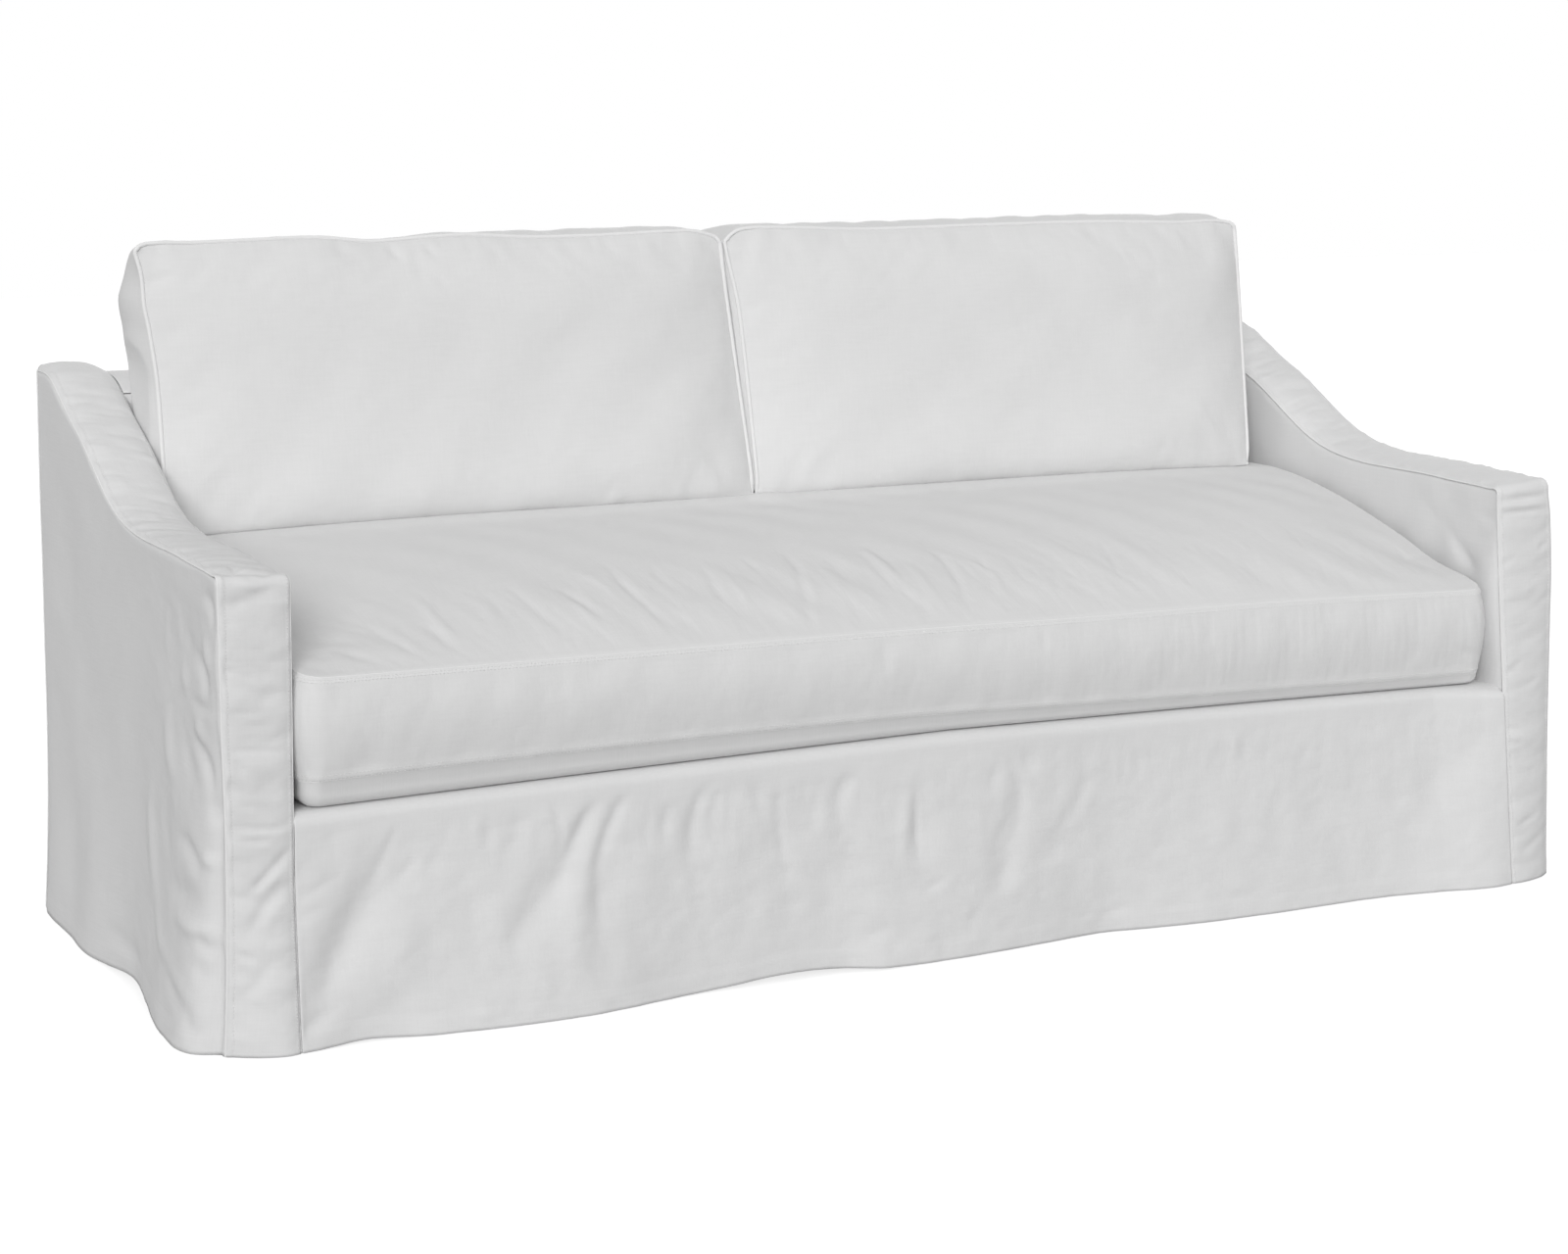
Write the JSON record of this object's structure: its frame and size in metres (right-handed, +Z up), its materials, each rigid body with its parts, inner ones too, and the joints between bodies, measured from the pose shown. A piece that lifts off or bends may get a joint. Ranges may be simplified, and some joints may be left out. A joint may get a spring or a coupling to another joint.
{
  "type": "sofa slipcover",
  "caption": "White cotton slipcover for a sofa with scooped track arms, floor-length skirtless sides, a boxed bench seat cushion and boxed, piped back cushions.",
  "frame": {"origin": "centre of the bounding box on the floor plane, where the hems hang", "axes": "+X to the right seen from the front, +Y to the back of the sofa, +Z up"},
  "size_m": [2.1826, 0.9164, 0.998],
  "materials": {
    "cotton": "matte",
    "piping": "matte"
  },
  "bodies": {
    "root": {"outside_arm_left": "cotton", "outside_arm_right": "cotton", "arm_band_left": "cotton", "arm_band_right": "cotton", "inside_arm_left": "cotton", "inside_arm_right": "cotton", "front_apron": "cotton", "deck": "cotton", "inside_back": "cotton", "back_top": "cotton", "outside_back": "cotton", "seat_cushion": "cotton", "back_cushion_left": "cotton", "back_cushion_right": "cotton", "back_welt_left": "piping", "back_welt_right": "piping"}
  },
  "joints": []
}
